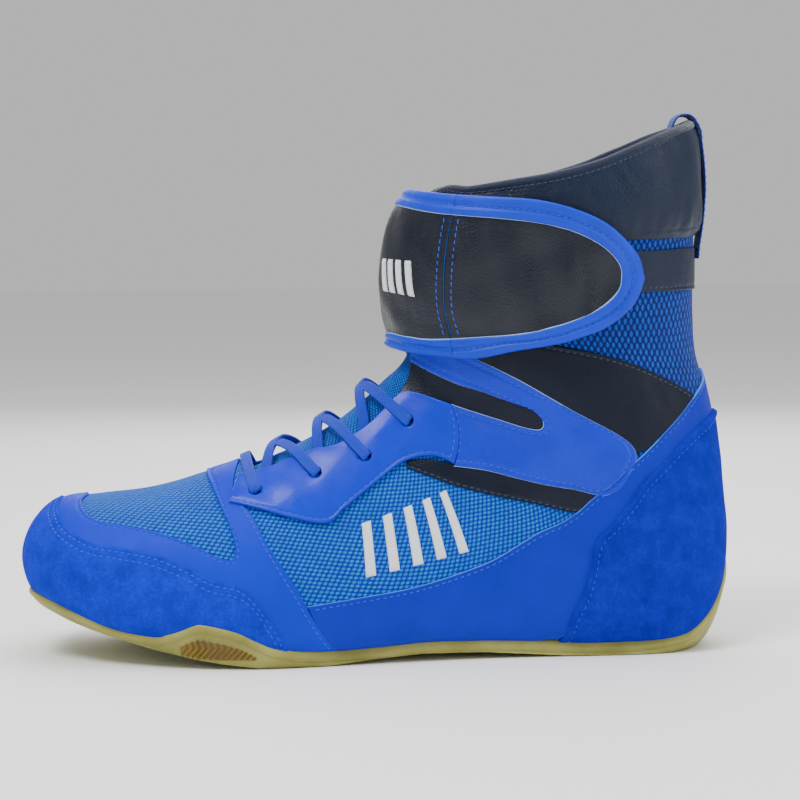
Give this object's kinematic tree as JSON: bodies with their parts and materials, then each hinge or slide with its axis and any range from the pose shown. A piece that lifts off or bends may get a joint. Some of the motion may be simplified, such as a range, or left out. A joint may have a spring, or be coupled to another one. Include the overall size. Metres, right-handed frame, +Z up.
{
  "type": "boxing boot",
  "caption": "Laced mid-height left boxing boot with thin gum sole, mesh and suede upper, padded collar, heel pull loop and wide hook-and-loop ankle strap.",
  "frame": {"origin": "centre of the footprint box on the ground", "axes": "+Z up, +X from toe to heel, +Y from the outer (lateral) side to the inner (medial) side, so the toe points along -X"},
  "size_m": [0.2895, 0.1006, 0.2169],
  "materials": {
    "gum": "satin",
    "eva": "matt",
    "board": "matt",
    "footbed": "matt",
    "stiffener": "matt",
    "lining": "matt",
    "mesh_blue": "matt",
    "mesh_dark_blue": "matt",
    "suede": "matt",
    "film_blue": "satin",
    "coated_blue": "satin",
    "coated_black": "satin",
    "pad_black": "matt",
    "webbing": "matt",
    "lace": "matt",
    "thread_white": "matt",
    "foam": "matt",
    "pile": "matt"
  },
  "bodies": {
    "boot": {"outsole": "gum", "midsole": "eva", "insole_board": "board", "footbed": "footbed", "toe_puff": "stiffener", "heel_counter": "stiffener", "lining_vamp": "lining", "lining_lateral": "lining", "lining_medial": "lining", "vamp_mesh": "mesh_blue", "quarter_mesh_lateral": "mesh_blue", "quarter_mesh_medial": "mesh_blue", "collar_mesh": "mesh_dark_blue", "toe_guard": "suede", "toe_overlay": "film_blue", "lower_band_lateral": "coated_blue", "lower_band_medial": "coated_blue", "heel_guard": "suede", "eyestay_lateral": "film_blue", "eyestay_medial": "film_blue", "ankle_wing_lateral": "film_blue", "ankle_wing_medial": "film_blue", "slot_insert_lateral": "coated_black", "slot_insert_medial": "coated_black", "ankle_panel_lateral": "coated_black", "ankle_panel_medial": "coated_black", "accent_stripe_lateral": "coated_black", "accent_stripe_medial": "coated_black", "quarter_badge": "thread_white", "collar_band": "coated_black", "collar_pad": "pad_black", "collar_foam": "foam", "collar_binding": "pad_black", "pull_loop": "webbing", "lace": "lace", "loop_patch": "pile", "strap_anchor": "coated_black"},
    "tongue": {"tongue": "mesh_blue", "tongue_binding": "coated_black"},
    "strap_front": {"strap_front_panel": "coated_black", "strap_front_trim": "coated_blue", "strap_badge": "thread_white"},
    "strap_tip": {"strap_tip_panel": "coated_black", "strap_tip_trim": "coated_blue", "hook_patch": "pile"}
  },
  "joints": [
    {"name": "strap_swing", "type": "hinge", "parent": "boot", "child": "strap_front", "pos_m": [0.0138, 0.0239, 0.181], "axis": [-0.068, -0.025, -0.9974], "range_deg": [0, 95]},
    {"name": "strap_peel", "type": "hinge", "parent": "strap_front", "child": "strap_tip", "pos_m": [0.0254, -0.0335, 0.184], "axis": [0.009, 0.037, -0.9993], "range_deg": [0, 100]},
    {"name": "tongue_tilt", "type": "hinge", "parent": "boot", "child": "tongue", "pos_m": [-0.0557, 0.001, 0.072], "axis": [0, 1, 0], "range_deg": [0, 12]}
  ]
}
